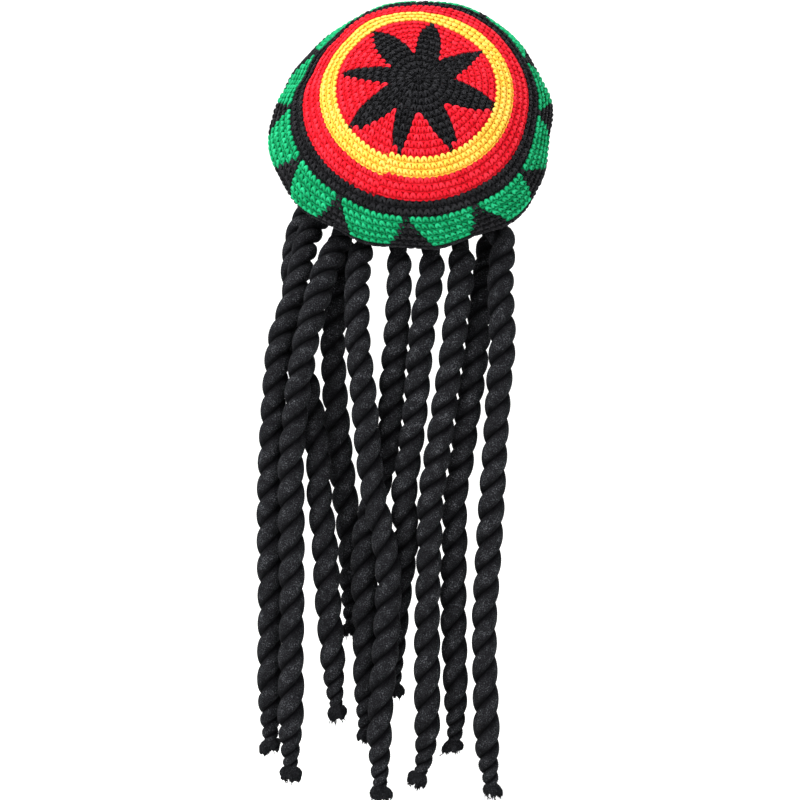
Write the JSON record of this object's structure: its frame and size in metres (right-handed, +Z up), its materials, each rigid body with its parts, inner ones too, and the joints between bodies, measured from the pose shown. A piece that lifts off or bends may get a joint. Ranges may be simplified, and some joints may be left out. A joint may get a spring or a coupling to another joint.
{
  "type": "rasta tam",
  "caption": "Slouchy crocheted tam with an eight-pointed star, coloured rounds and a zigzag edge, a ribbed head band and long twisted locks hanging from its back.",
  "frame": {"origin": "the middle of the head opening, on the plane of the band's lower edge", "axes": "+Z up as worn, +Y the way the wearer faces, +X to the wearer's right"},
  "size_m": [0.2683, 0.2359, 0.7191],
  "materials": {
    "black_yarn": "matt thick black yarn",
    "red_yarn": "matt thick red yarn",
    "yellow_yarn": "matt thick yellow yarn",
    "green_yarn": "matt thick green yarn",
    "lock_yarn": "charcoal fleece tube with light flecks"
  },
  "bodies": {
    "root": {"star": "black_yarn", "red_field": "red_yarn", "yellow_round": "yellow_yarn", "red_round": "red_yarn", "black_round": "black_yarn", "green_round": "green_yarn", "underside": "black_yarn", "head_band": "black_yarn", "lock_01": "lock_yarn", "lock_02": "lock_yarn", "lock_03": "lock_yarn", "lock_04": "lock_yarn", "lock_05": "lock_yarn", "lock_06": "lock_yarn", "lock_07": "lock_yarn", "lock_08": "lock_yarn", "lock_09": "lock_yarn", "lock_10": "lock_yarn"}
  },
  "joints": []
}
